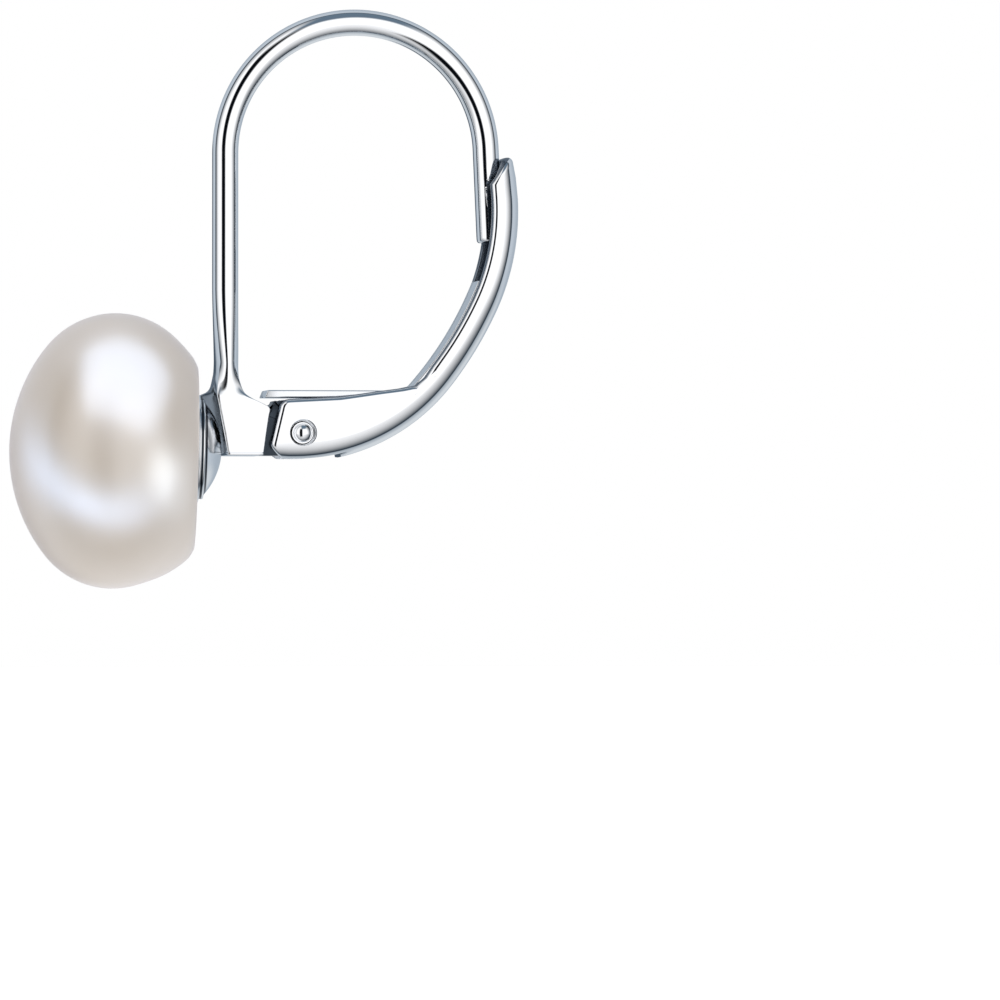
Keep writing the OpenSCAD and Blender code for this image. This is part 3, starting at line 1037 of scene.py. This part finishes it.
def slope_tip():
    """Turns the last sections back towards the walls' edge, which rounds the tip's corner off."""
    centre = at_hinge(*ARCS[-1][:2])
    radius = ARCS[-1][2] * MM
    last = ARCS[-1][5]

    def from_centre(p):
        return Vector((p.x - centre.x, 0, p.z - centre.z))

    for i in range(1, TIP_STEPS + 1):
        slope = math.radians(last + (TIP_SLOPE - last) * i / TIP_STEPS)
        out = Vector((math.sin(slope), 0, -math.cos(slope)))
        choose("VERT", lambda p: (
            from_centre(p).length > radius - 2 * MM and from_centre(p).angle(out) < 0.005))
        for point in selected_points():
            arm = from_centre(point)
            depth = max(0, radius - arm.length)
            back = math.radians(TIP_SHEAR) * (depth / WALL_H) ** TIP_CURVE * i / TIP_STEPS
            if depth > 1e-6:
                choose("VERT", lambda p: (p - point).length < SAME)
                turned = Matrix.Rotation(back, 3, "Y") @ arm
                bpy.ops.transform.translate(value=turned - arm)


def raise_ears():
    """Extrudes the walls' edges over the ears and sets them on the ears' free edge."""
    columns = ear_columns()
    centre_x, centre_z, radius = ARCS[0][:3]
    centre = at_hinge(centre_x, centre_z)
    wall_r = radius * MM - WALL_H
    side = LEVER_W / 2 - 1e-7
    ends = [i for i, (top, edge) in enumerate(columns) if math.dist(top, edge) < 0.05]
    last_x = at_hinge(*columns[ends[0]][0]).x

    def on_wall_top(p):
        if abs(p.y) < side or p.x > last_x:
            return False
        if p.x < centre.x:
            return abs(p.z - RIVET_Z) < 1e-7
        return abs(math.hypot(p.x - centre.x, p.z - centre.z) - wall_r) < 3e-6

    lift = Vector((0, 0, EAR_LIFT))
    choose("EDGE", on_wall_top)
    push(lift)
    for i, (top, edge) in enumerate(columns):
        foot = at_hinge(*top)
        if i <= ends[0]:
            foot = foot + lift
        shift_at(foot, at_hinge(*(top if i == ends[0] else edge)))
    choose("EDGE", on_wall_top)
    bpy.ops.mesh.dissolve_edges(use_verts=True)


def front_x(z):
    """The ears' front outline: a slanted edge above and the nose about the rivet below."""
    (x0, z0), (x1, z1) = EAR_FRONT
    slanted = x0 + (x1 - x0) * (z - z0) / (z1 - z0)
    if z > NOSE_TOP:
        return slanted
    return -math.sqrt(NOSE_R ** 2 - z ** 2)


def shape_ear_fronts():
    start = EAR_START[0]
    heights = [depth / MM - WALL_TOP for depth, half in fillet_rows()[SLOT_ROW:]]
    heights += [0.0, edge_height(start)]
    for z in heights:
        shift_at(at_hinge(start, z), at_hinge(front_x(z), z))
    corner = at_hinge(front_x(heights[-1]), heights[-1])
    choose("VERT", lambda p: (Vector((p.x, 0, p.z)) - corner).length < 1e-8)
    bpy.ops.mesh.bevel(
        offset=EAR_CORNER, offset_type="OFFSET", segments=5, affect="VERTICES")


def narrow(test):
    """Keeps only those of the selected edges whose middle passes the test."""
    mesh = bmesh.from_edit_mesh(bpy.context.edit_object.data)
    for edge in mesh.edges:
        if edge.select and not test((edge.verts[0].co + edge.verts[1].co) / 2):
            edge.select_set(False)
    mesh.select_flush_mode()
    bmesh.update_edit_mesh(bpy.context.edit_object.data)


def round_rims():
    """Rounds the sheet's cut edges, the outer ones more; the slot between the ears stays crisp."""
    slot_x = at_hinge(SLOT_FAR, 0).x

    def rim(p):
        in_slot = abs(p.y) < SLOT_HALF + 1e-6 and p.x < slot_x and p.z < RIVET_Z - SLOT_DEPTH
        return not in_slot

    for offset, segments in ((RIM_OUTER, 5), (RIM_INNER, 3)):
        bpy.ops.mesh.select_mode(type="EDGE")
        bpy.ops.mesh.select_all(action="DESELECT")
        bpy.ops.mesh.edges_select_sharp(sharpness=math.radians(RIM_ANGLE))
        narrow(rim)
        if offset == RIM_OUTER:
            bpy.ops.object.vertex_group_deselect()
        bpy.ops.mesh.bevel(
            offset=offset, offset_type="OFFSET", segments=segments, affect="EDGES",
            clamp_overlap=False)


def drill_rivet_hole(lever):
    """Cuts the hole and its two countersinks through both ears."""
    begin_lathe(HOLE_RINGS[0][0] * MM, HOLE_RINGS[0][1] * MM, count=64)
    lathe([(radius * MM, height * MM) for radius, height in HOLE_RINGS])
    tidy_mesh()
    lay_across_hinge()
    bpy.ops.object.transform_apply(location=True, rotation=True, scale=True)
    drill = bpy.context.object
    clear_selection()
    bpy.context.view_layer.objects.active = lever
    lever.select_set(True)
    apply_modifier("BOOLEAN", operation="DIFFERENCE", object=drill, solver="EXACT")
    bpy.data.objects.remove(drill)


def shade_inside(lever):
    """Gives the channel's inside its own dark material: painted shade inside the channel."""
    bpy.context.view_layer.objects.active = lever
    lever.data.materials.append(channel_shade_silver)
    bpy.ops.object.mode_set(mode="EDIT")
    bpy.ops.mesh.select_mode(type="FACE")
    bpy.ops.mesh.select_all(action="DESELECT")
    bpy.ops.object.vertex_group_select()
    lever.active_material_index = 1
    bpy.ops.object.material_slot_assign()
    clear_selection()


def make_lever():
    make_channel()
    slope_tip()
    raise_ears()
    slot_end = at_hinge(SLOT_END, 0).x
    choose("FACE", lambda p: abs(p.y) < SLOT_HALF and p.x < slot_end)
    bpy.ops.mesh.delete(type="FACE")
    shape_ear_fronts()
    tidy_mesh(reach=0.004 * MM)
    mesh = bmesh.from_edit_mesh(bpy.context.edit_object.data)
    lowest = min(mesh.faces, key=lambda face: face.calc_center_median().z)
    if lowest.normal.z > 0:
        bpy.ops.mesh.flip_normals()
    bpy.ops.object.mode_set(mode="OBJECT")
    lever = bpy.context.object
    lever.vertex_groups.new(name="inner")
    apply_modifier(
        "SOLIDIFY", thickness=SHEET_T, offset=-1, use_even_offset=True,
        shell_vertex_group="inner")
    bpy.ops.object.mode_set(mode="EDIT")
    near = at_hinge(SLOT_NEAR, 0).x
    for side in (-1, 1):
        slot = SLOT_HALF - 1e-8
        flatten(lambda p: EAR_INNER < p.y * side < slot and p.x < near, 1, side * SLOT_HALF)
    round_rims()
    bpy.ops.object.mode_set(mode="OBJECT")
    drill_rivet_hole(lever)
    complete("lever_channel", "lever_back", "lever", silver, sharp=30)
    shade_inside(lever)


# The channel's dark grey inside is painted shade within the channel.
channel_shade_silver = polished_silver("channel_shade_silver", (0.17, 0.20, 0.24, 1), 0.26)
make_lever()

# The spring leaf: a strip of rolled silver, bent up once, that lies over the knuckle's heel and
# snaps the lever shut; its leg is soldered between the channel's walls.
LEAF_T = 0.25 * MM
LEAF_W = 1.38 * MM
LEAF_FRONT = -1.24
LEAF_Z = 1.28
LEAF_BEND_R = 0.42
LEAF_LEG_R = ARCS[1][2] - 0.88
LEAF_END = 68.1
LEAF_CUTS = 8
LEAF_TURNS = 16
LEAF_CHAMFER = 0.1 * MM
LEAF_EDGE = 0.045 * MM
LEAF_EDGE_ANGLE = 40


def make_leaf():
    clear_selection()
    leg_x, leg_z = ARCS[1][:2]
    bend_z = LEAF_Z + LEAF_BEND_R
    bend = math.acos((leg_z - bend_z) / (LEAF_LEG_R - LEAF_BEND_R))
    bend_x = leg_x + (LEAF_LEG_R - LEAF_BEND_R) * math.sin(bend)
    start = at_hinge(LEAF_FRONT, LEAF_Z) + Vector((LEAF_W / 2, 0, 0))
    bpy.ops.mesh.primitive_plane_add(size=LEAF_W, location=start)
    begin_mesh()
    choose("EDGE", lambda p: p.x > start.x + LEAF_W * 0.4)
    reach = (bend_x - LEAF_FRONT) * MM - LEAF_W
    for i in range(LEAF_CUTS):
        push((reach / LEAF_CUTS, 0, 0))
    bpy.ops.mesh.spin(
        steps=LEAF_TURNS, angle=bend, center=at_hinge(bend_x, bend_z), axis=(0, 1, 0))
    bpy.ops.mesh.spin(
        steps=LEAF_TURNS, angle=math.radians(LEAF_END) - bend, center=at_hinge(leg_x, leg_z),
        axis=(0, 1, 0))
    tidy_mesh()
    bpy.ops.object.mode_set(mode="OBJECT")
    apply_modifier("SOLIDIFY", thickness=LEAF_T, offset=0, use_even_offset=True)
    bpy.ops.object.mode_set(mode="EDIT")
    front = at_hinge(LEAF_FRONT, LEAF_Z)
    choose("VERT", lambda p: p.x < front.x + 1e-6 and p.z > front.z)
    bpy.ops.transform.translate(value=(LEAF_CHAMFER, 0, 0))
    bpy.ops.object.mode_set(mode="OBJECT")
    apply_modifier(
        "BEVEL", width=LEAF_EDGE, segments=3, limit_method="ANGLE",
        angle_limit=math.radians(LEAF_EDGE_ANGLE), use_clamp_overlap=False)
    complete("leaf_strip", "lever_back", "spring_leaf", leaf_silver)


leaf_silver = polished_silver("rolled_silver", (0.87, 0.89, 0.915, 1), 0.07)
make_leaf()

# The rivet: a silver pin through both ears and the knuckle, its ends peened to low domes in the
# countersunk holes.
RIVET_R = 0.25 * MM
HEAD_R = 0.31 * MM
HEAD_SEAT = 0.91 * MM
HEAD_H = 0.05 * MM
HEAD_EDGE = 0.02 * MM
DOME_R = 0.36 * MM


def make_rivet():
    drop = math.sqrt(DOME_R ** 2 - HEAD_R ** 2)
    dome_start = math.degrees(math.asin(drop / DOME_R))
    dome = arc_rings(0, HEAD_SEAT + HEAD_H - drop, DOME_R, dome_start, 88, 12)
    half = [(RIVET_R, 0.0), (RIVET_R, HEAD_SEAT), (HEAD_R - HEAD_EDGE, HEAD_SEAT)]
    half += [(HEAD_R, HEAD_SEAT + HEAD_EDGE)] + dome
    rings = [(radius, -height) for radius, height in reversed(half)] + half[1:]
    begin_lathe(*rings[0], count=64)
    lathe(rings)
    tidy_mesh()
    lay_across_hinge()
    complete("hinge_rivet", "lever_back", "rivet", silver, sharp=40)


make_rivet()
